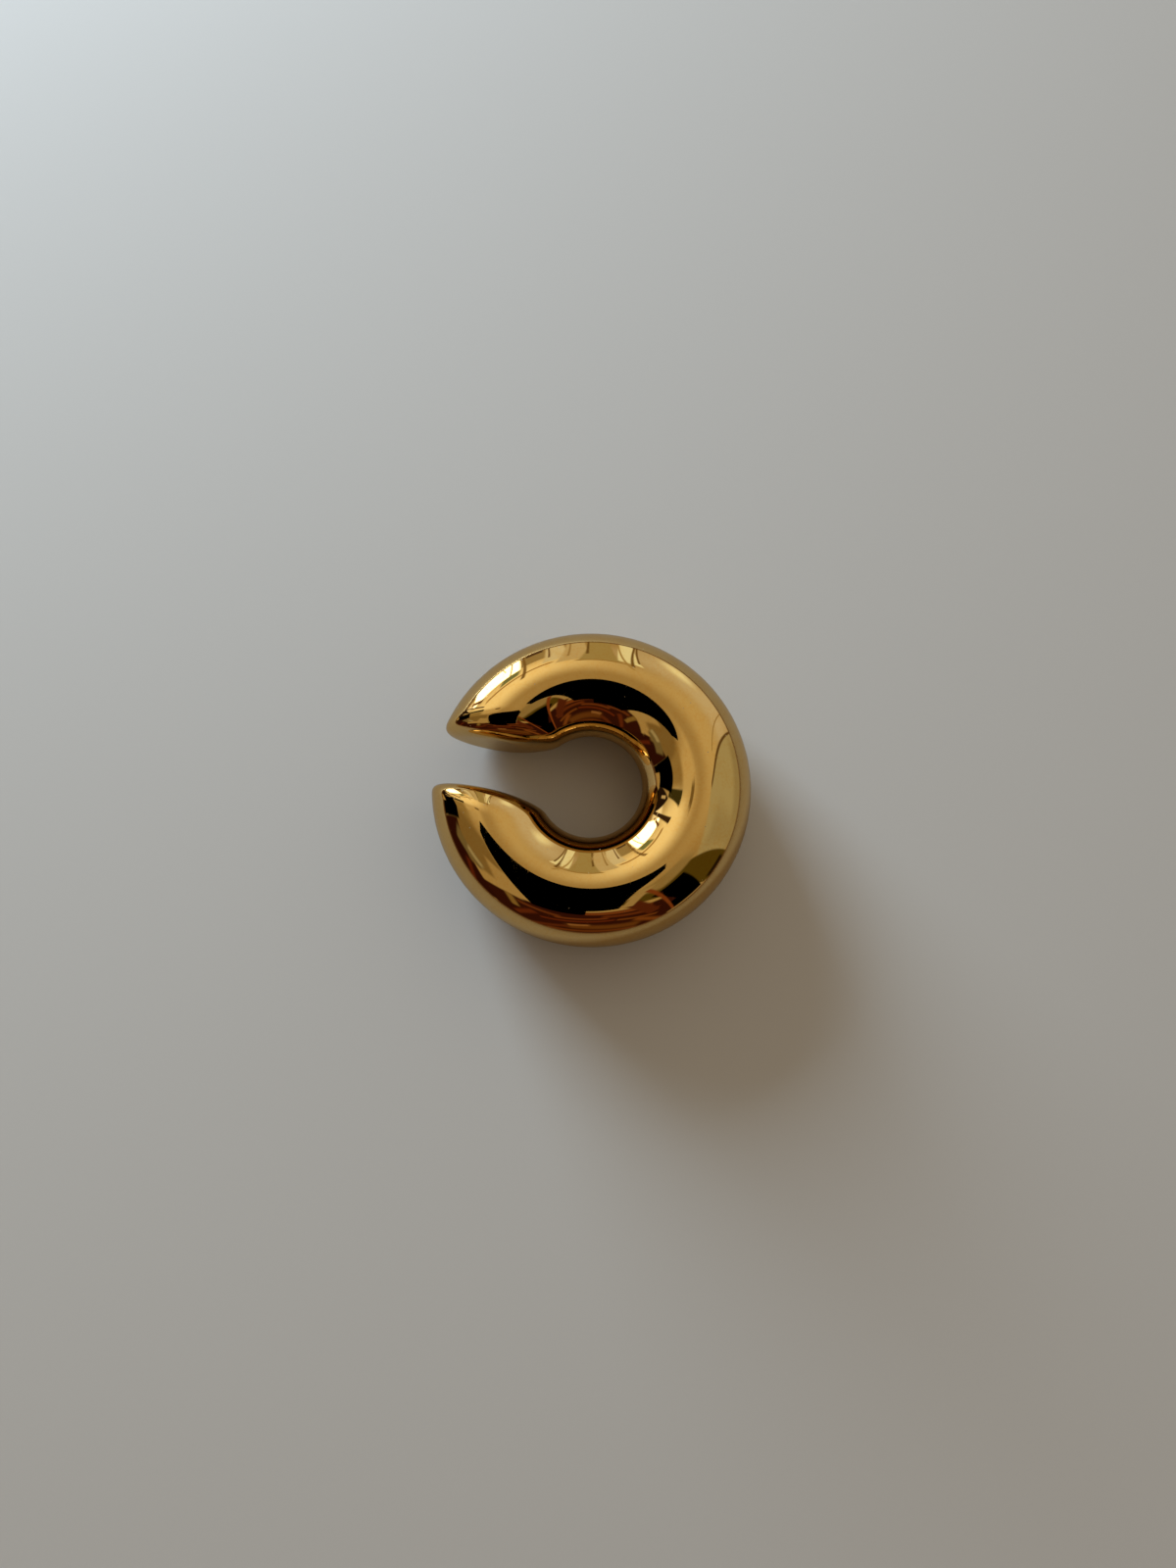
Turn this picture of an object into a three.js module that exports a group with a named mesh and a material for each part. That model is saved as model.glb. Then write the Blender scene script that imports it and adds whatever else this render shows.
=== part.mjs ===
// Ear cuff: one thick ring of oval section with an open slot, lying on its side
import * as THREE from "three";

// Ring, in millimetres
const outerRadius = 10.0;
const holeRadius = 3.27;
const holeShift = 0.08; // the hole's centre lies this far from the ring's centre, towards the slot
const halfHeight = 2.8;
const flatDepth = 0.012; // the crests on top and underneath are flattened by this much, to rest on

// Slot, in millimetres: flat parallel walls whose edges are rounded into the ring
const slotWidth = 3.1;
const edgeRadius = 0.78; // rounding at the ring's outer and inner sides
const crestRadius = 1.9; // broader rounding, on the crests on top and underneath

// Polished gold
const goldColour = 0xe4b45e;
const goldRoughness = 0.08;
const goldMetalness = 1.0;

// Fineness of the faceted surface
const sectionPoints = 38; // even and no multiple of four, so a facet lies flat on top and underneath
const stationSteps = 76; // along the ring, from one end to the other
const endRings = 13; // from an end's first section to the middle of its slot wall
const fanSteps = 160; // fine steps from which each end's rings are picked
const bendWeight = 2.2; // millimetres of length that one radian of bend counts for, in that pick
const marchSteps = 14; // steps across half the ring's width, in the search for the surface
const halvings = 44;

// Half the ring's width and the radius of its middle line, at an angle round the ring
function sectionAt(angle) {
  const sideways = holeShift * Math.sin(angle);
  const innerReach = Math.sqrt(holeRadius ** 2 - sideways ** 2) - holeShift * Math.cos(angle);
  return {
    middleRadius: (outerRadius + innerReach) / 2,
    halfWidth: (outerRadius - innerReach) / 2,
  };
}

// Place of a point across the ring, -1 to 1, and its depth below the uncut ring's oval skin
function placeInRing(point) {
  const { middleRadius, halfWidth } = sectionAt(Math.atan2(point.y, point.x));
  const across = (Math.hypot(point.x, point.y) - middleRadius) / halfWidth;
  const up = point.z / halfHeight;
  return { across, depth: halfWidth * (1 - Math.hypot(across, up)) };
}

// Distance of a point from the slot, which runs from the ring's centre out along -X
function distanceFromSlot(point) {
  return Math.hypot(Math.max(point.x, 0), point.y) - slotWidth / 2;
}

// Depth below the finished skin: where both skins are near, the edge between them is a rounding
function depthInCuff(point) {
  const { across, depth } = placeInRing(point);
  const rounding = edgeRadius + (crestRadius - edgeRadius) * Math.max(1 - across ** 2, 0);
  const nearSkin = Math.max(rounding - depth, 0);
  const nearSlot = Math.max(rounding - distanceFromSlot(point), 0);
  const belowFlat = halfHeight - flatDepth - Math.abs(point.z);
  return Math.min(rounding - Math.hypot(nearSkin, nearSlot), belowFlat);
}

// Steps outwards from a point in the metal until it is outside, then halves the last step
function skinPoint(start, direction) {
  const step = (outerRadius - holeRadius) / 2 / marchSteps;
  const probe = new THREE.Vector3();
  const isInside = (reach) => depthInCuff(probe.copy(start).addScaledVector(direction, reach)) > 0;
  let inside = 0;
  while (isInside(inside + step)) {
    inside += step;
  }
  let outside = inside + step;
  for (let i = 0; i < halvings; i += 1) {
    const middle = (inside + outside) / 2;
    if (isInside(middle)) {
      inside = middle;
    } else {
      outside = middle;
    }
  }
  return start.clone().addScaledVector(direction, inside);
}

// Middle of the section at an angle round the ring
function middlePoint(angle) {
  const { middleRadius } = sectionAt(angle);
  return new THREE.Vector3(Math.cos(angle), Math.sin(angle), 0).multiplyScalar(middleRadius);
}

// Directions from the middle of a section to its points, evenly round the oval
function sectionDirections(angle) {
  const { halfWidth } = sectionAt(angle);
  const directions = [];
  for (let j = 0; j < sectionPoints; j += 1) {
    const turn = (2 * Math.PI * j) / sectionPoints;
    const outward = halfWidth * Math.cos(turn);
    const up = halfHeight * Math.sin(turn);
    directions.push(new THREE.Vector3(outward * Math.cos(angle), outward * Math.sin(angle), up).normalize());
  }
  return directions;
}

// Picks points along a fine curve, closer together where it bends
function pickByBend(curve, pickCount) {
  const reach = [0];
  for (let i = 1; i < curve.length; i += 1) {
    const step = curve[i].clone().sub(curve[i - 1]);
    const before = i > 1 ? curve[i - 1].clone().sub(curve[i - 2]) : step;
    reach.push(reach[i - 1] + step.length() + bendWeight * step.angleTo(before));
  }
  const picked = [];
  let i = 1;
  for (let k = 1; k <= pickCount; k += 1) {
    const wanted = (reach[reach.length - 1] * k) / pickCount;
    while (reach[i] < wanted && i < curve.length - 1) {
      i += 1;
    }
    const share = (wanted - reach[i - 1]) / (reach[i] - reach[i - 1]);
    picked.push(curve[i - 1].clone().lerp(curve[i], Math.min(share, 1)));
  }
  return picked;
}

// Rings of points over one end, from the middle of its slot wall back to its first section
function endCap(angle) {
  const start = middlePoint(angle);
  const towardsWall = new THREE.Vector3(0, -Math.sign(start.y), 0);
  const wallMiddle = skinPoint(start, towardsWall);
  const columns = sectionDirections(angle).map((direction) => {
    const fan = [wallMiddle];
    for (let k = 1; k <= fanSteps; k += 1) {
      const ray = towardsWall.clone().lerp(direction, k / fanSteps).normalize();
      fan.push(skinPoint(start, ray));
    }
    return pickByBend(fan, endRings);
  });
  const rings = [];
  for (let k = 0; k < endRings; k += 1) {
    rings.push(columns.map((column) => column[k]));
  }
  return { wallMiddle, rings };
}

// Closed skin over all rings, with a fan of triangles in the middle of each slot wall
function skinOver(firstPole, rings, lastPole) {
  const points = [firstPole, ...rings.flat(), lastPole];
  const triangles = [];
  const at = (ring, j) => 1 + ring * sectionPoints + (j % sectionPoints);
  const lastRing = rings.length - 1;
  for (let j = 0; j < sectionPoints; j += 1) {
    triangles.push(0, at(0, j + 1), at(0, j));
    triangles.push(points.length - 1, at(lastRing, j), at(lastRing, j + 1));
    for (let ring = 0; ring < lastRing; ring += 1) {
      triangles.push(at(ring, j), at(ring + 1, j + 1), at(ring + 1, j));
      triangles.push(at(ring, j), at(ring, j + 1), at(ring + 1, j + 1));
    }
  }
  const geometry = new THREE.BufferGeometry().setFromPoints(points);
  geometry.setIndex(triangles);
  return geometry;
}

// The cuff's body, from the end at +Y round the closed side at +X to the end at -Y
function cuffBody() {
  const endReach = (outerRadius - holeRadius) / 4; // from a slot wall back to the end's first section
  const middleRadius = (outerRadius + holeRadius) / 2;
  const endAngle = Math.PI - Math.asin((slotWidth / 2 + endReach) / middleRadius);
  const firstEnd = endCap(endAngle);
  const lastEnd = endCap(-endAngle);
  const rings = [...firstEnd.rings];
  for (let i = 1; i < stationSteps; i += 1) {
    const angle = endAngle * (1 - (2 * i) / stationSteps);
    const start = middlePoint(angle);
    rings.push(sectionDirections(angle).map((direction) => skinPoint(start, direction)));
  }
  rings.push(...lastEnd.rings.reverse());
  const geometry = skinOver(firstEnd.wallMiddle, rings, lastEnd.wallMiddle);

  // The origin is below the middle of the cuff's box, on the surface that it lies on
  geometry.computeBoundingBox();
  const box = geometry.boundingBox;
  geometry.translate(-(box.min.x + box.max.x) / 2, -(box.min.y + box.max.y) / 2, -box.min.z);
  geometry.computeVertexNormals();
  const gold = new THREE.MeshStandardMaterial({
    color: goldColour,
    roughness: goldRoughness,
    metalness: goldMetalness,
  });
  const mesh = new THREE.Mesh(geometry, gold);
  mesh.name = "cuff_body";
  return mesh;
}

const earCuff = new THREE.Group();
earCuff.name = "ear_cuff";
earCuff.add(cuffBody());

export default earCuff;
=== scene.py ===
import math

import bpy
import numpy as np
from mathutils import Matrix, Vector


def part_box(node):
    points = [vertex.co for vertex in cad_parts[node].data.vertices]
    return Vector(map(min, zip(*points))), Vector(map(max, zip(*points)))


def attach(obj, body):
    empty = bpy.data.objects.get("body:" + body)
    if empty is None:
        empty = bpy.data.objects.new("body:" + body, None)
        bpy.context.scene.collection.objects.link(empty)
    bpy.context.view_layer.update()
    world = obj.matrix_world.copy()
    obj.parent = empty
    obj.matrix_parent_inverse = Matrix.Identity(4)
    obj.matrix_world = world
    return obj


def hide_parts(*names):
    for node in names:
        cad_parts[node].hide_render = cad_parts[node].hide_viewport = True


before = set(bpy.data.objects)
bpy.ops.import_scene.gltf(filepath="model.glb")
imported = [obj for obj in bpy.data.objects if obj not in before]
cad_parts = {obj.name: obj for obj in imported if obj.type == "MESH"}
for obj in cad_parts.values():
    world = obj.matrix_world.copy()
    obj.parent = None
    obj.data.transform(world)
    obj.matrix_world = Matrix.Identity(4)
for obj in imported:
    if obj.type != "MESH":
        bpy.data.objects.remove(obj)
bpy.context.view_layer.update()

# The cuff: a thick ring of oval section with an open slot towards -X, all in metres
cuff = {
    "holeRadius": 0.00327,
    "holeShift": 0.00008,      # the hole's centre lies this far from the ring's, towards the slot
    "slotWidth": 0.0031,
    "lean": (0.0031, -0.12, 0.19, -0.16),   # how the section leans: slopes in more gently at the hole
    "edgeRadius": 0.00078,     # rounding of the slot's edges at the ring's outer and inner sides
    "crestRadius": 0.0019,     # and broader, on the crests on top and underneath
    "edgeBlend": 2.3,          # 2 is a true arc, more eases it into the skin on both sides
    "sectionPoints": 216,      # points round the oval
    "stationSteps": 290,       # steps along the ring
    "endRings": 84,            # rings over each end, closer together where it bends
    "fanSteps": 260,           # rays turned through from the slot wall to the end's section
    "bendWeight": 0.0030,      # metres of length that a radian of bend counts for in that spacing
    "marchSteps": 40,          # steps a ray could take across the ring
    "halvings": 34,
    "slopeStep": 0.000002,     # metres either way for the slope of the skin
}

# Polished gold
gold = {
    "colour": (0.955, 0.668, 0.285, 1.0),
    "deepColour": (0.93, 0.60, 0.22, 1.0),
    "roughness": 0.012,
    "hazeRoughness": 0.055,
    "hazeSize": 900.0,         # haze patches to the metre
    "hazeFrom": 0.20,          # clear where the noise is under this
    "hazeTo": 0.42,            # and fully hazy over this
    "waveHeight": 0.0000010,   # hand-polished unevenness, metres
    "waveSize": 420.0,
    "scratchSize": 520.0,
    "scratchTurn": (0.3, 0.2, 0.9),
    "scratchStretch": (1.0, 0.08, 1.0),
    "scratchBendSize": 160.0,
    "scratchBend": 0.0006,
    "scratchWidth": 0.035,     # as a share of a cell
    "scratchPatchSize": 700.0,
    "scratchPatchFrom": 0.52,
    "scratchPatchTo": 0.66,
    "scratchHeight": 0.00000025,
    "scratchRoughness": 0.10,
    "dustSize": 5200.0,
    "dustInner": 0.10,
    "dustOuter": 0.22,
    "dustRareness": 0.985,     # share of the cells that have no speck
    "dustColour": (0.30, 0.27, 0.22, 1.0),
    "dustRoughness": 0.5,
    "dustMetalLoss": 0.8,
}

# The floor, plain and pale
floorLook = {
    "size": 3.0,
    "colour": (0.60, 0.60, 0.60, 1.0),
    # painted shade: where the metal mirrors the floor, the floor gets this darker, warmer tone instead of
    # its own colour
    "shadedInMetal": (0.385, 0.355, 0.31, 1.0),   # its tone as the polished metal mirrors it
    "roughness": 0.85,
}

# Where the picture is taken from: 1200 by 1600 pixels, lens as long as lensPixels
picture = {
    "widePixels": 1200,
    "highPixels": 1600,
    "lensPixels": 1110,
    "sensor": 36.0,            # millimetres along the picture's long side
    "azimuth": 10.5,
    "tilt": 12.4,              # degrees off straight down
    "distance": 0.06835,
    "ringPixel": (603.4, 802.8),
}

# The studio's softbox, low on the left
softbox = {
    "across": -46.0,           # degrees from overhead, in the picture's axes
    "up": 68.0,
    "distance": 0.24,
    "wide": 0.114,
    "high": 0.132,
    "power": 1.46,
    "colour": (0.73, 0.885, 1.0),
}

# The studio's plain fill on the floor: brightest from one side, in degrees round the picture
fill = {
    "from": 52.0,
    "bright": (0.87, 0.765, 0.59, 1.0),
    "dark": (0.06, 0.025, 0.005, 1.0),
    "overhead": (0.10, 0.04, 0.0, 1.0),
    "overheadShare": 0.8,      # share of the overhead tone straight overhead
}

# Black card in the plane of the lens: corners in metres from the lens, right and up in the picture
blackCard = {
    "corners": (
        (-0.0355, -0.047),
        (-0.003, -0.047),
        (-0.002, -0.036),
        (0.0138, -0.035),
        (0.0142, -0.004),
        (0.0164, 0.0095),
        (0.012, 0.0165),
        (-0.012, 0.020),
        (-0.028, 0.0195),
        (-0.0355, 0.013),
    ),
}

# Panels round the studio, laid over one another in this order. Each lies on a map of the dome:
# degrees from overhead, across and up in the picture's axes, then its turn, size, soft edge and tone
panelColumns = ("across", "up", "turn", "wide", "high", "edge", "colour")
panels = [
    # soft warm tones high up, brightest on the light's side and paler at the top right
    (45, 56, -35, 66, 54, 38, (0.52, 0.475, 0.39)),
    (40, 67, 0, 14, 16, 12, (0.80, 0.84, 0.72)),
    (26, 24, 0, 34, 34, 24, (0.49, 0.395, 0.22)),
    (-27, 36, 25, 50, 40, 30, (0.92, 0.82, 0.55)),
    (-50, 8, 0, 40, 26, 14, (0.26, 0.19, 0.08)),
    (-23, 12, 0, 24, 14, 9, (0.50, 0.40, 0.22)),
    # upright bands at the top, with thin dark strips
    (-15, 72, 12, 9, 44, 1.5, (0.62, 0.60, 0.50)),
    (-6, 68, 4, 9, 50, 1.0, (0.50, 0.44, 0.31)),
    (3.5, 66, -3, 10, 54, 1.0, (0.33, 0.28, 0.145)),
    (-27, 76, 16, 11, 34, 2.0, (0.30, 0.24, 0.13)),
    (-28, 82, 16, 9, 9, 1.5, (0.08, 0.05, 0.03)),
    (14.5, 68, -9, 7, 50, 0.8, (0.75, 0.80, 0.68)),
    (-23, 43.5, 14, 26, 2.5, 1.8, (0.36, 0.22, 0.07)),
    (3, 40, -4, 13, 1.6, 1.2, (0.30, 0.20, 0.07)),
    (-1, 75, 0, 1.0, 40, 0.6, (0.14, 0.09, 0.03)),
    (-8.5, 70, 5, 0.8, 34, 0.6, (0.30, 0.22, 0.10)),
    (-19, 77, 13, 0.9, 36, 0.6, (0.16, 0.10, 0.05)),
    (11, 62, -6, 0.8, 60, 0.6, (0.36, 0.27, 0.12)),
    (16.5, 65, -14.5, 1.0, 56, 0.6, (0.16, 0.10, 0.03)),
    (19.5, 70, -13, 0.9, 46, 0.6, (0.16, 0.10, 0.03)),
    # the bright panel at the top left, thin bars over it and darker patches beside it
    (-58, 49, 30, 22, 14, 6, (1.0, 0.95, 0.80)),
    (-46, 68, 22, 27.5, 36, 2.0, (4.0, 4.0, 3.85)),
    (-45, 76, 33, 0.8, 24, 0.6, (0.75, 0.72, 0.60)),
    (-37, 71, 22, 1.0, 40, 0.6, (0.60, 0.56, 0.45)),
    (-28, 50, 20, 8, 8, 2.0, (0.18, 0.22, 0.12)),
    (-27, 63.5, 22.5, 1.3, 57, 0.8, (0.20, 0.13, 0.05)),
    (-61.5, 64.5, 43.6, 44, 4.5, 1.5, (0.03, 0.015, 0.01)),
    (-56, 47, -32, 50, 3.6, 1.2, (0.04, 0.02, 0.01)),
    (-46, 24, -10, 26, 7, 1.5, (0.04, 0.035, 0.01)),
    (-14, 15.5, -10, 6, 4, 2, (0.16, 0.11, 0.04)),
    (-50, 50, -25, 16, 2.5, 1.5, (0.15, 0.08, 0.03)),
    (-73, 42, 20, 22, 32, 2.0, (0.015, 0.008, 0.005)),
    (-66, 33, -20, 8, 3, 1.5, (0.50, 0.42, 0.28)),
    # plain right side, dimmer towards its ends, under one dark seam
    (64.5, 2.6, 32.3, 66, 60, 3, (0.345, 0.32, 0.215)),
    (81, 8, 8, 20, 60, 12, (0.27, 0.24, 0.155)),
    (62, -9, -15, 54, 16, 12, (0.29, 0.26, 0.17)),
    (50, 29, 32.3, 66, 1.5, 0.9, (0.10, 0.06, 0.02)),
    (50, 38, 41, 56, 0.7, 0.5, (0.30, 0.22, 0.10)),
    # dark side at the bottom, warm brown, with a few lighter patches
    (0, -68, 0, 124, 58, 3, (0.026, 0.006, 0.003)),
    (-76, -31, 0, 36, 58, 3, (0.022, 0.005, 0.003)),
    (-43, -14, -8, 34, 30, 5, (0.18, 0.125, 0.05)),
    (-33, -27, -18, 14, 24, 4, (0.33, 0.25, 0.125)),
    (-58, -18, -45, 24, 11, 4, (0.14, 0.115, 0.06)),
    (-52, -21, -50, 12, 5, 3, (0.30, 0.27, 0.18)),
    (-40, -47, 80, 16, 5, 3, (0.18, 0.12, 0.04)),
    (-25, -48, -18, 22, 4, 3, (0.10, 0.03, 0.010)),
    (12, -42, -2, 30, 5, 2, (0.14, 0.042, 0.012)),
    (20, -50, -8, 30, 4, 3, (0.10, 0.026, 0.007)),
    (-5, -53, 5, 26, 3, 2.5, (0.12, 0.035, 0.010)),
    (-8, -59, 6, 40, 3, 2, (0.09, 0.018, 0.005)),
    (26, -60, -12, 26, 3, 2, (0.12, 0.04, 0.009)),
    (-38, -60, 35, 22, 5, 4, (0.09, 0.02, 0.006)),
    (8, -72, -4, 44, 10, 7, (0.10, 0.038, 0.009)),
    (-7, -67, 4, 12, 4, 2, (0.20, 0.10, 0.04)),
    (36, -70, -34, 28, 5, 5, (0.15, 0.05, 0.012)),
    (-28, -76, 18, 30, 5, 5, (0.08, 0.02, 0.006)),
    (0, -82, 0, 60, 5, 4, (0.10, 0.03, 0.007)),
    (-72, -38, 62, 26, 5, 4, (0.08, 0.015, 0.005)),
    # dark corner at the lower right: an olive wedge, a tan patch, black under it, and an orange edge
    (47.9, -28.1, -14.8, 74, 24, 1.5, (0.068, 0.048, 0.006)),
    (78, -36, -20, 14, 16, 3, (0.015, 0.008, 0.003)),
    (19.5, -13, -25, 15, 17, 5, (0.24, 0.185, 0.09)),
    (49, -42, -38, 58, 15, 1.2, (0.0, 0.0, 0.0)),
    (57, -54, -42, 24, 20, 1.2, (0.0, 0.0, 0.0)),
    (24, -44, -52, 34, 7, 2, (0.07, 0.017, 0.006)),
    (13.5, -24, 0, 4.5, 22, 1.2, (0.30, 0.23, 0.12)),
    (34, -41.5, -52, 62, 1.8, 0.9, (0.16, 0.045, 0.012)),
    (62.5, -58.5, 47, 34, 3.5, 2, (0.24, 0.18, 0.10)),
    # black panels on the left
    (-67, 11.5, 0, 25, 28, 1.5, (0.0, 0.0, 0.0)),
    (-80, 3, 0, 26, 10, 1.5, (0.0, 0.0, 0.0)),
]

# The dome's own tone, its dark band low down all round, and what the lens sees behind the floor
dome = {
    "colour": (0.335, 0.25, 0.122),
    "lowFrom": 86.0,           # degrees from overhead
    "lowTo": 89.5,
    "lowColour": (0.12, 0.07, 0.04),
    "backdrop": (0.40, 0.39, 0.36),
    "deepLoss": 0.5,           # this much of the dome is missing where it is mirrored twice or more
}


# The ring's middle radius and half its width at an angle round it:
# the hole's circle is met at -shift*cos(angle) + sqrt(hole^2 - (shift*sin(angle))^2)
def sectionAt(angle, outerRadius):
    sideways = cuff["holeShift"] * np.sin(angle)
    innerReach = np.sqrt(cuff["holeRadius"] ** 2 - sideways**2) - cuff["holeShift"] * np.cos(angle)
    return (outerRadius + innerReach) / 2, (outerRadius - innerReach) / 2


# Depth below the finished skin. The ring's oval has across^2 raised by (1 - across^2) times
# (l1*across + l2*across^2 + l3*across^3 + l0*(1 - across^2)). It and the distance from the slot are
# joined by round - ((round - depth)^k + (round - distance)^k)^(1/k), which rounds the edge between
# them, and round = edge + (crest - edge)*(1 - across^2)
def depthInCuff(points, outerRadius, halfHeight):
    x = points[..., 0]
    y = points[..., 1]
    z = points[..., 2]
    middleRadius, halfWidth = sectionAt(np.arctan2(y, x), outerRadius)
    across = (np.hypot(x, y) - middleRadius) / halfWidth
    l0, l1, l2, l3 = cuff["lean"]
    within = np.maximum(1 - across**2, 0)
    raised = across**2 + within * (l1 * across + l2 * across**2 + l3 * across**3 + l0 * within)
    inRing = halfWidth * (1 - np.sqrt(np.maximum(raised, 0) + (z / halfHeight) ** 2))
    fromSlot = np.hypot(np.maximum(x, 0), y) - cuff["slotWidth"] / 2
    broader = (cuff["crestRadius"] - cuff["edgeRadius"]) * within
    rounding = cuff["edgeRadius"] + broader
    nearSkin = np.maximum(rounding - inRing, 0)
    nearSlot = np.maximum(rounding - fromSlot, 0)
    k = cuff["edgeBlend"]
    return rounding - (nearSkin**k + nearSlot**k) ** (1 / k)


# Follows rays out of the metal in equal steps, then halves the last step, (inside + outside)/2,
# until it lies on the skin
def skinPoints(starts, directions, outerRadius, halfHeight):
    step = (outerRadius - cuff["holeRadius"]) / cuff["marchSteps"]
    inside = np.zeros(starts.shape[:-1])
    going = np.ones(inside.shape, bool)
    while going.any():
        reach = np.where(going, inside + step, inside)
        going &= depthInCuff(starts + directions * reach[..., None], outerRadius, halfHeight) > 0
        inside = np.where(going, reach, inside)
    outside = inside + step
    for _ in range(cuff["halvings"]):
        reach = (inside + outside) / 2
        isIn = depthInCuff(starts + directions * reach[..., None], outerRadius, halfHeight) > 0
        inside = np.where(isIn, reach, inside)
        outside = np.where(isIn, outside, reach)
    return starts + directions * inside[..., None]


# Rays from the middle of a section, evenly round its oval: (width*cos t outwards, height*sin t up)
def sectionRays(angles, outerRadius, halfHeight):
    turn = np.linspace(0, 2 * np.pi, cuff["sectionPoints"], endpoint=False)
    middleRadius, halfWidth = sectionAt(angles, outerRadius)
    outward = np.stack([np.cos(angles), np.sin(angles), 0 * angles], -1)
    starts = (outward * middleRadius[:, None])[:, None, :].repeat(len(turn), 1)
    rays = outward[:, None, :] * (halfWidth[:, None] * np.cos(turn))[..., None]
    rays[..., 2] += halfHeight * np.sin(turn)
    return starts, rays / np.linalg.norm(rays, axis=-1, keepdims=True)


# Spreads points along many fine curves at once, in equal steps of length + bendWeight*bend
def spreadByBend(curves, count):
    step = np.diff(curves, axis=0)
    length = np.linalg.norm(step, axis=-1)
    unit = step / length[..., None]
    bend = np.arccos(np.clip((unit[1:] * unit[:-1]).sum(-1), -1, 1))
    gain = length + cuff["bendWeight"] * np.concatenate([bend[:1] * 0, bend])
    reach = np.concatenate([gain[:1] * 0, np.cumsum(gain, 0)])
    reach = reach / reach[-1] * 0.999 + np.arange(curves.shape[1])   # each curve has its own stretch
    wanted = np.linspace(0, 0.999, count + 1)[1:, None] + np.arange(curves.shape[1])
    flat = [np.interp(wanted.T.ravel(), reach.T.ravel(), curves[..., i].T.ravel()) for i in range(3)]
    return np.stack(flat, -1).reshape(curves.shape[1], count, 3).transpose(1, 0, 2)


# Rings over one end: rays turn from the slot wall's middle to the end's own section,
# ray = towards the wall*(1 - share) + section's ray*share
def endCap(angle, outerRadius, halfHeight):
    starts, rays = sectionRays(np.array([angle]), outerRadius, halfHeight)
    towardsWall = np.array([0.0, -np.sign(angle), 0.0])
    share = np.linspace(0, 1, cuff["fanSteps"] + 1)[:, None, None]
    fan = towardsWall * (1 - share) + rays * share
    fan /= np.linalg.norm(fan, axis=-1, keepdims=True)
    curves = skinPoints(starts.repeat(len(fan), 0), fan, outerRadius, halfHeight)
    return curves[0, 0], spreadByBend(curves, cuff["endRings"])


# Slope of the depth, by small differences each way along X, Y and Z, gives the way the skin faces
def skinNormals(points, outerRadius, halfHeight):
    slope = []
    for axis in np.eye(3) * cuff["slopeStep"]:
        ahead = depthInCuff(points + axis, outerRadius, halfHeight)
        behind = depthInCuff(points - axis, outerRadius, halfHeight)
        slope.append(behind - ahead)
    normals = np.stack(slope, -1)
    return normals / np.linalg.norm(normals, axis=-1, keepdims=True)


# Quads between neighbouring rings, and a fan of triangles in the middle of each slot wall.
# A point's number is 1 + ring*around + its place on the ring, and 0 and the last are the fans' middles
def closedFaces(ringCount, around):
    ring, j = np.meshgrid(np.arange(ringCount - 1), np.arange(around), indexing="ij")
    here = 1 + ring * around + j
    beside = 1 + ring * around + (j + 1) % around
    quads = np.stack([here, beside, beside + around, here + around], -1).reshape(-1, 4)
    j = np.arange(around)
    first = np.stack([0 * j, 1 + (j + 1) % around, 1 + j], -1)
    base = 1 + (ringCount - 1) * around
    last = np.stack([0 * j + base + around, base + j, base + (j + 1) % around], -1)
    return quads, np.concatenate([first, last])


# The cuff's skin in its box, from one end round to the other. The ends start at
# pi - asin((half the slot + a quarter of the ring's width)/middle radius) either way
def buildCuff():
    low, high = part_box("cuff_body")
    outerRadius = (high[1] - low[1]) / 2
    halfHeight = (high[2] - low[2]) / 2
    centre = np.array([high[0] - outerRadius, (low[1] + high[1]) / 2, low[2] + halfHeight])
    endReach = (outerRadius - cuff["holeRadius"]) / 4
    middle = (outerRadius + cuff["holeRadius"]) / 2
    endAngle = math.pi - math.asin((cuff["slotWidth"] / 2 + endReach) / middle)
    firstPole, firstRings = endCap(endAngle, outerRadius, halfHeight)
    lastPole, lastRings = endCap(-endAngle, outerRadius, halfHeight)
    angles = np.linspace(endAngle, -endAngle, cuff["stationSteps"] + 1)[1:-1]
    rings = skinPoints(*sectionRays(angles, outerRadius, halfHeight), outerRadius, halfHeight)
    rings = np.concatenate([firstRings, rings, lastRings[::-1]])
    points = np.concatenate([[firstPole], rings.reshape(-1, 3), [lastPole]])
    normals = skinNormals(points, outerRadius, halfHeight)
    quads, triangles = closedFaces(len(rings), cuff["sectionPoints"])
    points = points + centre

    mesh = bpy.data.meshes.new("cuffSkin")
    mesh.vertices.add(len(points))
    mesh.vertices.foreach_set("co", points.ravel())
    corners = np.concatenate([quads.ravel(), triangles.ravel()])
    starts = np.concatenate([np.arange(len(quads)) * 4, len(quads) * 4 + np.arange(len(triangles)) * 3])
    mesh.loops.add(len(corners))
    mesh.loops.foreach_set("vertex_index", corners)
    mesh.polygons.add(len(starts))
    mesh.polygons.foreach_set("loop_start", starts)
    mesh.update(calc_edges=True)
    mesh.validate()
    mesh.shade_smooth()
    mesh.normals_split_custom_set_from_vertices(normals.tolist())
    piece = bpy.data.objects.new("polished_cuff", mesh)
    bpy.context.scene.collection.objects.link(piece)
    print("cuff built,", len(points), "points,", 2 * len(quads) + len(triangles), "triangles")
    return piece, Vector(centre)


# Links a socket to what feeds it, or sets its own value
def feed(tree, socket, value):
    if isinstance(value, bpy.types.NodeSocket):
        tree.links.new(value, socket)
    else:
        socket.default_value = value


# A node in a tree, with its settings and what feeds its inputs
def addNode(tree, kind, inputs=None, **settings):
    node = tree.nodes.new(kind)
    for name, value in settings.items():
        setattr(node, name, value)
    for key, value in (inputs or {}).items():
        feed(tree, node.inputs[key], value)
    return node


# One sum on values, such as first*second or first*second + third
def maths(tree, operation, *values):
    return addNode(tree, "ShaderNodeMath", dict(enumerate(values)), operation=operation).outputs[0]


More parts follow.
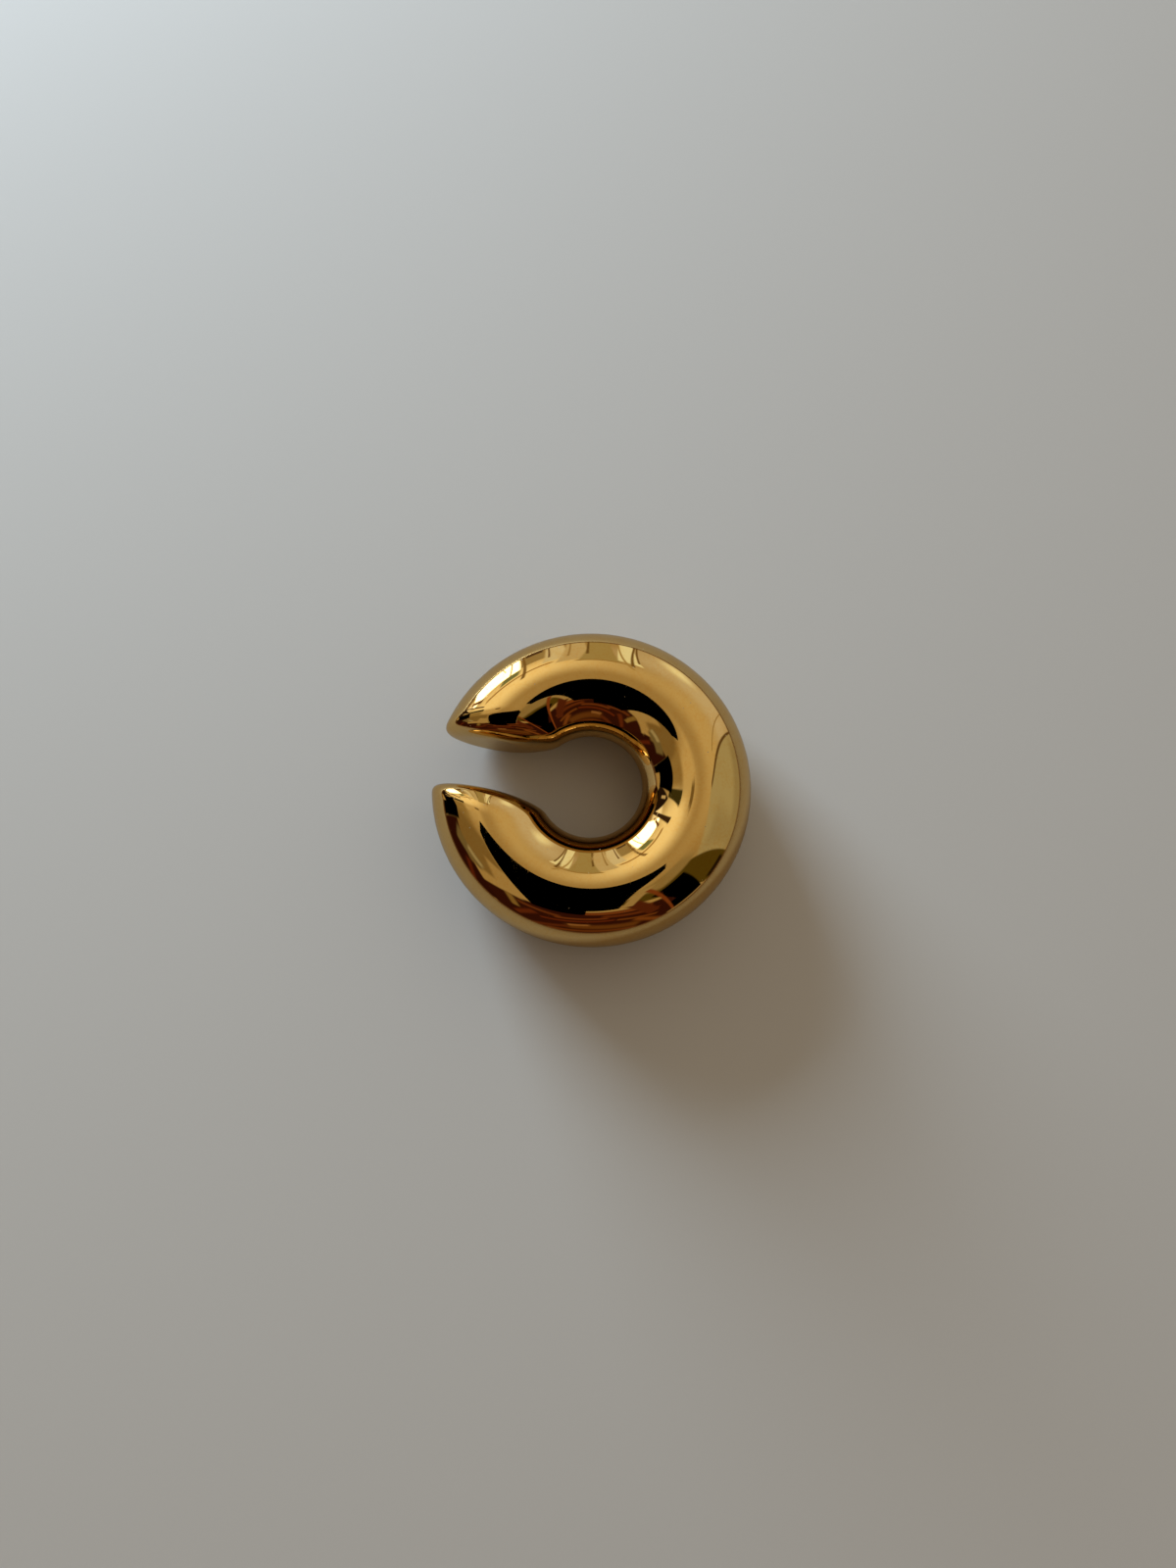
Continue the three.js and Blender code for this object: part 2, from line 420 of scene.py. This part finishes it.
# One colour over another by a mask: below*(1 - mask) + above*mask
def blend(tree, mask, below, above):
    node = addNode(tree, "ShaderNodeMix", data_type="RGBA")
    tree.links.new(mask, node.inputs["Factor"])
    sides = [socket for socket in node.inputs if socket.type == "RGBA"]
    for socket, value in zip(sides, (below, above)):
        feed(tree, socket, value)
    return [socket for socket in node.outputs if socket.type == "RGBA"][0]


# An empty node group with named inputs and outputs
def newGroup(name, inputs, outputs):
    group = bpy.data.node_groups.new(name, "ShaderNodeTree")
    for label, kind, default in inputs:
        socket = group.interface.new_socket(name=label, in_out="INPUT", socket_type=kind)
        if default is not None:
            socket.default_value = default
    for label, kind in outputs:
        group.interface.new_socket(name=label, in_out="OUTPUT", socket_type=kind)
    return group, group.nodes.new("NodeGroupInput"), group.nodes.new("NodeGroupOutput")


# A group's node in a tree, with what feeds its inputs, and the mask that it gives
def groupMask(tree, group, given):
    node = tree.nodes.new("ShaderNodeGroup")
    node.node_tree = group
    for name, value in given.items():
        feed(tree, node.inputs[name], value)
    return node.outputs["Mask"]


# Haze: patches where the polish is a little less bright, broad noise*fine noise spread over 0 to 1
def hazeGroup():
    group, given, out = newGroup(
        "polishHaze",
        [("Place", "NodeSocketVector", None), ("Size", "NodeSocketFloat", 900.0)],
        [("Mask", "NodeSocketFloat")],
    )
    place = given.outputs["Place"]
    size = given.outputs["Size"]
    spread = {"Vector": place, "Scale": size, "Detail": 5.0, "Roughness": 0.62}
    broad = addNode(group, "ShaderNodeTexNoise", spread)
    fineSize = maths(group, "MULTIPLY", size, 7.0)
    fine = addNode(group, "ShaderNodeTexNoise", {"Vector": place, "Scale": fineSize, "Detail": 3.0})
    both = maths(group, "MULTIPLY", broad.outputs["Fac"], fine.outputs["Fac"])
    reach = {"Value": both, "From Min": gold["hazeFrom"], "From Max": gold["hazeTo"]}
    mask = addNode(group, "ShaderNodeMapRange", reach)
    group.links.new(mask.outputs["Result"], out.inputs["Mask"])
    return group


# Scratches: thin arcs left by polishing, 1 on the borders of stretched cells and 0 off them, times patches
def scratchGroup():
    group, given, out = newGroup(
        "polishScratches",
        [
            ("Place", "NodeSocketVector", None),
            ("Size", "NodeSocketFloat", 600.0),
            ("Turn", "NodeSocketVector", None),
        ],
        [("Mask", "NodeSocketFloat")],
    )
    place = given.outputs["Place"]
    stretch = {"Vector": place, "Rotation": given.outputs["Turn"], "Scale": gold["scratchStretch"]}
    turned = addNode(group, "ShaderNodeMapping", stretch)
    bendNoise = {"Vector": place, "Scale": gold["scratchBendSize"], "Detail": 1.0}
    bent = addNode(group, "ShaderNodeTexNoise", bendNoise)
    bending = {0: bent.outputs["Color"], 1: (gold["scratchBend"],) * 3}
    shift = addNode(group, "ShaderNodeVectorMath", bending, operation="MULTIPLY")
    both = {0: turned.outputs["Vector"], 1: shift.outputs[0]}
    moved = addNode(group, "ShaderNodeVectorMath", both, operation="ADD")
    cells = {"Vector": moved.outputs[0], "Scale": given.outputs["Size"]}
    lines = addNode(group, "ShaderNodeTexVoronoi", cells, feature="DISTANCE_TO_EDGE")
    thin = addNode(group, "ShaderNodeMapRange", {
        "Value": lines.outputs["Distance"],
        "From Min": 0.0,
        "From Max": gold["scratchWidth"],
        "To Min": 1.0,
        "To Max": 0.0,
    })
    patches = {"Vector": place, "Scale": gold["scratchPatchSize"], "Detail": 2.0}
    some = addNode(group, "ShaderNodeTexNoise", patches)
    kept = addNode(group, "ShaderNodeMapRange", {
        "Value": some.outputs["Fac"],
        "From Min": gold["scratchPatchFrom"],
        "From Max": gold["scratchPatchTo"],
    })
    mask = maths(group, "MULTIPLY", thin.outputs["Result"], kept.outputs["Result"])
    group.links.new(mask, out.inputs["Mask"])
    return group


# Dust: tiny round specks, 1 near the middle of a cell where the cell's own red is over dustRareness
def dustGroup():
    group, given, out = newGroup(
        "dustSpecks",
        [("Place", "NodeSocketVector", None), ("Size", "NodeSocketFloat", 5000.0)],
        [("Mask", "NodeSocketFloat")],
    )
    spread = {"Vector": given.outputs["Place"], "Scale": given.outputs["Size"]}
    cells = addNode(group, "ShaderNodeTexVoronoi", spread)
    dots = addNode(group, "ShaderNodeMapRange", {
        "Value": cells.outputs["Distance"],
        "From Min": gold["dustInner"],
        "From Max": gold["dustOuter"],
        "To Min": 1.0,
        "To Max": 0.0,
    })
    chosen = addNode(group, "ShaderNodeSeparateColor", {"Color": cells.outputs["Color"]})
    rare = maths(group, "GREATER_THAN", chosen.outputs["Red"], gold["dustRareness"])
    mask = maths(group, "MULTIPLY", dots.outputs["Result"], rare)
    group.links.new(mask, out.inputs["Mask"])
    return group


# Polished gold: roughness = haze's step from roughness to hazeRoughness + scratchRoughness*scratches
# + dustRoughness*dust, and metal = 1 - dustMetalLoss*dust
def goldMaterial():
    material = bpy.data.materials.new("polishedGold")
    material.use_nodes = True
    tree = material.node_tree
    tree.nodes.clear()
    place = addNode(tree, "ShaderNodeTexCoord").outputs["Object"]

    haze = groupMask(tree, hazeGroup(), {"Place": place, "Size": gold["hazeSize"]})
    given = {"Place": place, "Size": gold["scratchSize"], "Turn": gold["scratchTurn"]}
    scratches = groupMask(tree, scratchGroup(), given)
    dust = groupMask(tree, dustGroup(), {"Place": place, "Size": gold["dustSize"]})

    tone = blend(tree, haze, gold["colour"], gold["deepColour"])
    colour = blend(tree, dust, tone, gold["dustColour"])
    step = {"Value": haze, "To Min": gold["roughness"], "To Max": gold["hazeRoughness"]}
    rough = addNode(tree, "ShaderNodeMapRange", step)
    worn = maths(tree, "MULTIPLY_ADD", scratches, gold["scratchRoughness"], rough.outputs["Result"])
    dull = maths(tree, "MULTIPLY_ADD", dust, gold["dustRoughness"], worn)
    metal = maths(tree, "MULTIPLY_ADD", dust, -gold["dustMetalLoss"], 1.0)

    wave = addNode(tree, "ShaderNodeTexNoise", {"Vector": place, "Scale": gold["waveSize"], "Detail": 1.5})
    waved = addNode(tree, "ShaderNodeBump", {
        "Height": wave.outputs["Fac"],
        "Distance": gold["waveHeight"],
        "Strength": 1.0,
    })
    cut = addNode(tree, "ShaderNodeBump", {
        "Height": scratches,
        "Distance": gold["scratchHeight"],
        "Strength": 1.0,
        "Normal": waved.outputs["Normal"],
    }, invert=True)
    shader = addNode(tree, "ShaderNodeBsdfPrincipled", {
        "Base Color": colour,
        "Metallic": metal,
        "Roughness": dull,
        "Normal": cut.outputs["Normal"],
    })
    out = addNode(tree, "ShaderNodeOutputMaterial")
    tree.links.new(shader.outputs[0], out.inputs["Surface"])
    return material


# The pale floor: its colour, or, where a glossy ray sees it, a darker and warmer tone that is painted
# shade
def floorMaterial():
    material = bpy.data.materials.new("paleFloor")
    material.use_nodes = True
    tree = material.node_tree
    shader = tree.nodes["Principled BSDF"]
    mirrored = addNode(tree, "ShaderNodeLightPath").outputs["Is Glossy Ray"]
    tone = blend(tree, mirrored, floorLook["colour"], floorLook["shadedInMetal"])
    tree.links.new(tone, shader.inputs["Base Color"])
    shader.inputs["Roughness"].default_value = floorLook["roughness"]
    return material


# One flat face with the given corners, as part of the studio
def flatPanel(name, corners, material):
    mesh = bpy.data.meshes.new(name)
    mesh.from_pydata([tuple(corner) for corner in corners], [], [tuple(range(len(corners)))])
    mesh.materials.append(material)
    panel = bpy.data.objects.new(name, mesh)
    bpy.context.scene.collection.objects.link(panel)
    return panel


# The picture's own axes: right, up and back towards the lens, with azimuth a and height e above the floor,
# right = (cos a, sin a, 0) and back = (sin a*cos e, -cos a*cos e, sin e)
def pictureAxes():
    a = math.radians(picture["azimuth"])
    e = math.radians(90 - picture["tilt"])
    back = Vector((math.sin(a) * math.cos(e), -math.cos(a) * math.cos(e), math.sin(e)))
    right = Vector((math.cos(a), math.sin(a), 0))
    return right, back.cross(right), back


# The lens stands at the ring's centre + back*distance - right*across + up*down,
# where a pixel at the ring is distance/lensPixels wide
def placeCamera(ringCentre):
    right, up, back = pictureAxes()
    perPixel = picture["distance"] / picture["lensPixels"]
    across = (picture["ringPixel"][0] - picture["widePixels"] / 2) * perPixel
    down = (picture["ringPixel"][1] - picture["highPixels"] / 2) * perPixel
    place = ringCentre + back * picture["distance"] - right * across + up * down
    lens = bpy.data.cameras.new("pictureCamera")
    lens.sensor_width = picture["sensor"]
    lens.lens = picture["sensor"] * picture["lensPixels"] / picture["highPixels"]
    lens.clip_start = 0.002
    lens.clip_end = 20
    camera = bpy.data.objects.new("pictureCamera", lens)
    turn = Matrix((right, up, back)).transposed().to_4x4()
    camera.matrix_world = Matrix.Translation(place) @ turn
    bpy.context.scene.collection.objects.link(camera)
    bpy.context.scene.camera = camera
    print("camera placed", [round(v, 5) for v in place])
    return camera


# A black card in the plane of the lens, seen only in the metal: a corner is lens + right*x + up*y
def placeBlackCard(camera):
    right, up, back = pictureAxes()
    middle = Vector(camera.location)
    black = bpy.data.materials.new("blackCard")
    black.use_nodes = True
    shader = black.node_tree.nodes["Principled BSDF"]
    shader.inputs["Base Color"].default_value = (0, 0, 0, 1)
    shader.inputs["Specular IOR Level"].default_value = 0
    corners = [middle + right * x + up * y for x, y in blackCard["corners"]]
    card = flatPanel("blackCard", corners, black)
    card.visible_camera = False
    card.visible_shadow = False
    card.visible_diffuse = False
    return card


# A direction given in degrees from overhead, across and up in the picture's axes: sqrt(across^2 + up^2)
# is its angle from overhead, and its turn is atan2(up, across) + azimuth
def domeDirection(across, up):
    fromTop = math.radians(math.hypot(across, up))
    a = math.atan2(up, across) + math.radians(picture["azimuth"])
    return Vector((math.cos(a) * math.sin(fromTop), math.sin(a) * math.sin(fromTop), math.cos(fromTop)))


# The softbox at the ring's centre + direction*distance, facing the ring
def placeSoftbox(ringCentre):
    light = bpy.data.lights.new("softbox", "AREA")
    light.shape = "RECTANGLE"
    light.size = softbox["wide"]
    light.size_y = softbox["high"]
    light.energy = softbox["power"]
    light.color = softbox["colour"]
    box = bpy.data.objects.new("softbox", light)
    way = domeDirection(softbox["across"], softbox["up"])
    box.location = ringCentre + way * softbox["distance"]
    box.rotation_euler = way.to_track_quat("Z", "Y").to_euler()
    box.visible_glossy = False
    box.visible_camera = False
    bpy.context.scene.collection.objects.link(box)
    return box


# 1 within half the width of 0 and 0 beyond it, eased from half - edge/2 to half + edge/2
def bandGroup():
    group, given, out = newGroup(
        "softBand",
        [
            ("Value", "NodeSocketFloat", 0.0),
            ("Half", "NodeSocketFloat", 1.0),
            ("Edge", "NodeSocketFloat", 1.0),
        ],
        [("Mask", "NodeSocketFloat")],
    )
    away = maths(group, "ABSOLUTE", given.outputs["Value"])
    halfEdge = maths(group, "MULTIPLY", given.outputs["Edge"], 0.5)
    start = maths(group, "SUBTRACT", given.outputs["Half"], halfEdge)
    end = maths(group, "ADD", given.outputs["Half"], halfEdge)
    reach = {"Value": away, "From Min": start, "From Max": end, "To Min": 1.0, "To Max": 0.0}
    mask = addNode(group, "ShaderNodeMapRange", reach, interpolation_type="SMOOTHSTEP")
    group.links.new(mask.outputs["Result"], out.inputs["Mask"])
    return group


# A panel's mask on the map: (x, y, 1) dot (axis, -axis dot centre) is the distance from its middle line,
# and the bands along its two axes are multiplied
def panelMask(tree, band, domeMap, panel):
    turn = math.radians(panel["turn"])
    masks = []
    for a, size in ((turn, "wide"), (turn + math.pi / 2, "high")):
        axis = (math.cos(a), math.sin(a))
        offset = axis[0] * panel["across"] + axis[1] * panel["up"]
        line = {0: domeMap, 1: (*axis, -offset)}
        away = addNode(tree, "ShaderNodeVectorMath", line, operation="DOT_PRODUCT")
        given = {"Value": away.outputs["Value"], "Half": panel[size] / 2, "Edge": panel["edge"]}
        masks.append(groupMask(tree, band, given))
    return maths(tree, "MULTIPLY", *masks)


# The dome's map runs from overhead out to the horizon: (x, y)/sqrt(x^2 + y^2)*degrees from overhead
def domeMapOf(tree, parts, fromTop):
    squaredX = maths(tree, "MULTIPLY", parts["X"], parts["X"])
    squaredY = maths(tree, "MULTIPLY", parts["Y"], parts["Y"])
    flat = maths(tree, "SQRT", maths(tree, "ADD", squaredX, squaredY))
    spread = maths(tree, "DIVIDE", fromTop, maths(tree, "MAXIMUM", flat, 0.0001))
    across = maths(tree, "MULTIPLY", parts["X"], spread)
    up = maths(tree, "MULTIPLY", parts["Y"], spread)
    return addNode(tree, "ShaderNodeCombineXYZ", {0: across, 1: up, 2: 1.0}).outputs[0]


# The fill's tone: bright by (1 + direction dot bright side)/2 and dark by the rest,
# then its overhead tone by overheadShare*(direction's height)^3
def fillTone(tree, turned, parts):
    a = math.radians(fill["from"])
    brightSide = {0: turned, 1: (math.cos(a), math.sin(a), 0.0)}
    towards = addNode(tree, "ShaderNodeVectorMath", brightSide, operation="DOT_PRODUCT").outputs["Value"]
    share = maths(tree, "MULTIPLY_ADD", towards, 0.5, 0.5)
    sideways = blend(tree, share, fill["dark"], fill["bright"])
    cubed = maths(tree, "POWER", maths(tree, "MAXIMUM", parts["Z"], 0.0), 3.0)
    shaded = maths(tree, "MULTIPLY", cubed, fill["overheadShare"])
    return blend(tree, shaded, sideways, fill["overhead"])


# The dome round the studio: the panels laid over its own tone, a low dark band, deepLoss less where it is
# mirrored twice or more, and degrees from overhead are arccos(height)*180/pi
def lightDome():
    world = bpy.data.worlds.new("studioDome")
    bpy.context.scene.world = world
    world.use_nodes = True
    tree = world.node_tree
    tree.nodes.clear()
    way = addNode(tree, "ShaderNodeTexCoord").outputs["Generated"]
    turning = {"Vector": way, "Angle": -math.radians(picture["azimuth"])}
    turned = addNode(tree, "ShaderNodeVectorRotate", turning, rotation_type="Z_AXIS").outputs[0]
    parts = addNode(tree, "ShaderNodeSeparateXYZ", {0: turned}).outputs
    fromTop = maths(tree, "MULTIPLY", maths(tree, "ARCCOSINE", parts["Z"]), 180 / math.pi)
    domeMap = domeMapOf(tree, parts, fromTop)

    band = bandGroup()
    colour = (*dome["colour"], 1.0)
    for row in panels:
        panel = dict(zip(panelColumns, row))
        colour = blend(tree, panelMask(tree, band, domeMap, panel), colour, (*panel["colour"], 1.0))
    reach = {"Value": fromTop, "From Min": dome["lowFrom"], "From Max": dome["lowTo"]}
    low = addNode(tree, "ShaderNodeMapRange", reach)
    colour = blend(tree, low.outputs["Result"], colour, (*dome["lowColour"], 1.0))
    filled = fillTone(tree, turned, parts)

    # the metal mirrors the dome, the floor gets the plain fill, and the lens sees a plain backdrop
    rays = addNode(tree, "ShaderNodeLightPath").outputs
    deep = maths(tree, "GREATER_THAN", rays["Glossy Depth"], 1.5)
    colour = blend(tree, maths(tree, "MULTIPLY", deep, dome["deepLoss"]), colour, (0.0, 0.0, 0.0, 1.0))
    mirrored = addNode(tree, "ShaderNodeBackground", {"Color": colour}).outputs[0]
    onFloor = addNode(tree, "ShaderNodeBackground", {"Color": filled}).outputs[0]
    backdrop = addNode(tree, "ShaderNodeBackground", {"Color": (*dome["backdrop"], 1.0)}).outputs[0]
    pair = {0: rays["Is Diffuse Ray"], 1: mirrored, 2: onFloor}
    first = addNode(tree, "ShaderNodeMixShader", pair).outputs[0]
    pair = {0: rays["Is Camera Ray"], 1: first, 2: backdrop}
    light = addNode(tree, "ShaderNodeMixShader", pair).outputs[0]
    out = addNode(tree, "ShaderNodeOutputWorld")
    tree.links.new(light, out.inputs["Surface"])
    world.cycles.sampling_method = "NONE"
    print("light dome made,", len(panels), "panels")


body, ringCentre = buildCuff()
body.data.materials.append(goldMaterial())
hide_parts("cuff_body")
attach(body, "root")
print("gold finish made")

camera = placeCamera(ringCentre)
placeBlackCard(camera)
placeSoftbox(ringCentre)
half = floorLook["size"] / 2
floorCorners = [(-half, -half, 0), (half, -half, 0), (half, half, 0), (-half, half, 0)]
flatPanel("paleFloor", floorCorners, floorMaterial())
lightDome()
bpy.context.scene.view_settings.view_transform = "Standard"
print("studio set up")
